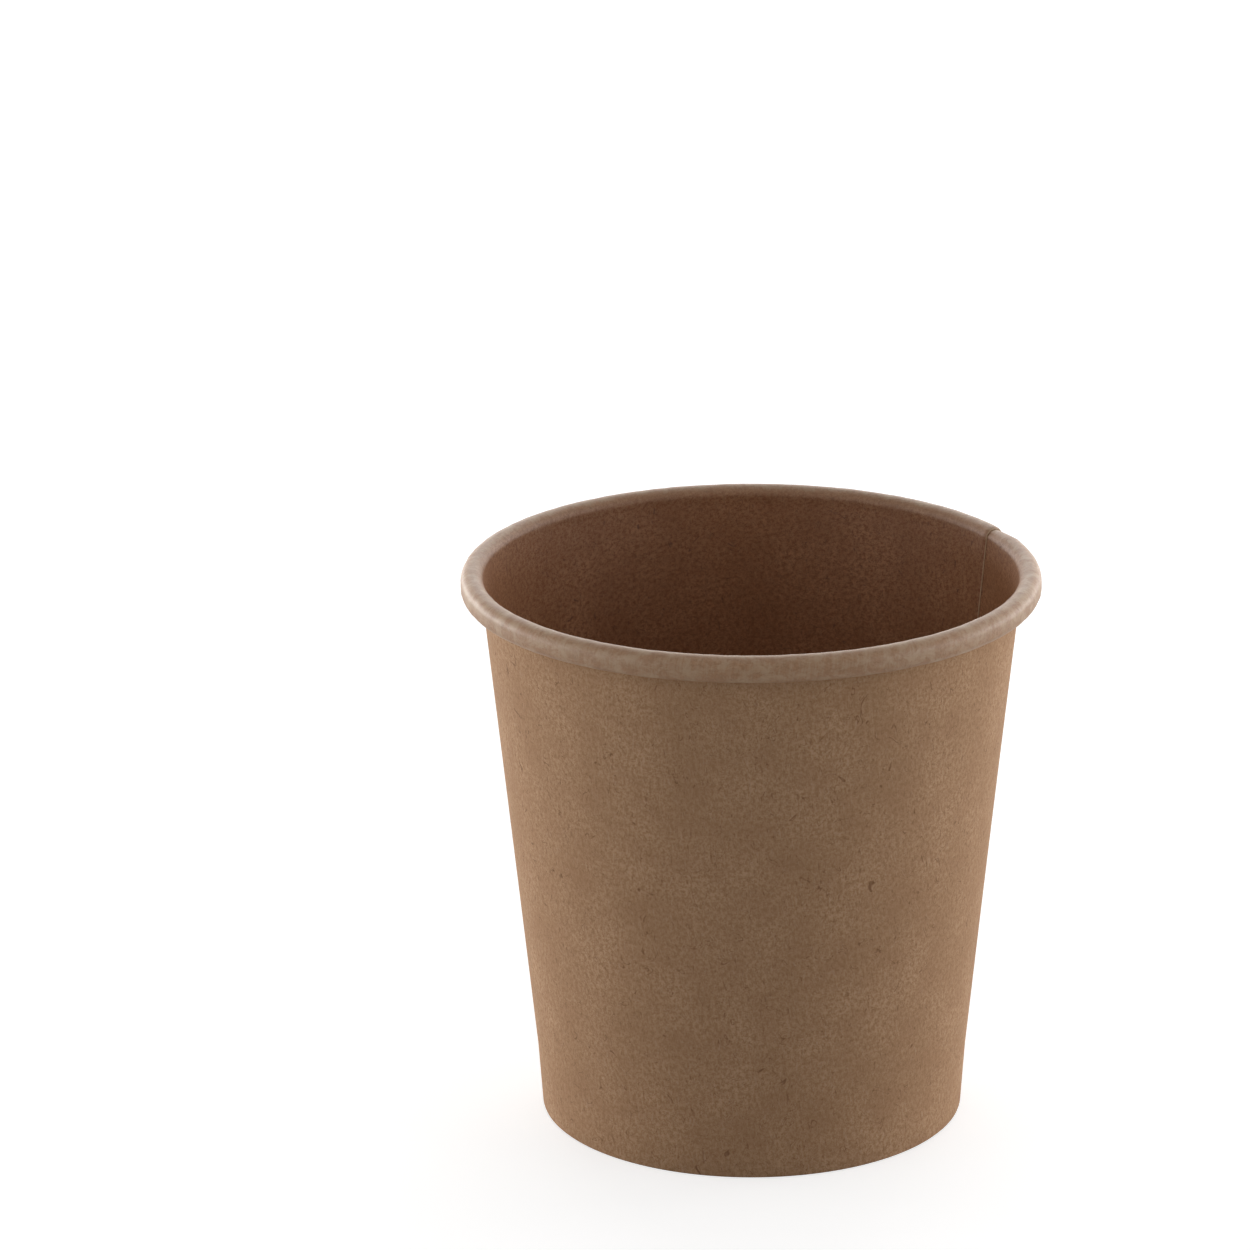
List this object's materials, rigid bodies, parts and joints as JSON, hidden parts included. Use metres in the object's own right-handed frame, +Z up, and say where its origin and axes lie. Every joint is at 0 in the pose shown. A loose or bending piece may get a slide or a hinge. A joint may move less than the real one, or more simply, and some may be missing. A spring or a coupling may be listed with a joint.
{
  "type": "paper coffee cup",
  "caption": "Small single-wall kraft paper cup for hot drinks, with a rolled rim, a lapped side seam and a floor set into the folded foot.",
  "frame": {"origin": "centre of the circle on which the cup stands, on the table", "axes": "+Z up along the cup's axis, +X to the right and -Y towards the viewer of the picture, with the side seam at the back right"},
  "size_m": [0.062, 0.062, 0.061],
  "materials": {
    "wall_board": "matt unbleached kraft outside, thin clear film lining inside and over the rolled rim",
    "floor_board": "unbleached kraft, thin clear film lining on the upper face"
  },
  "bodies": {
    "root": {"side_wall": "wall_board", "bottom_disc": "floor_board"}
  },
  "joints": []
}
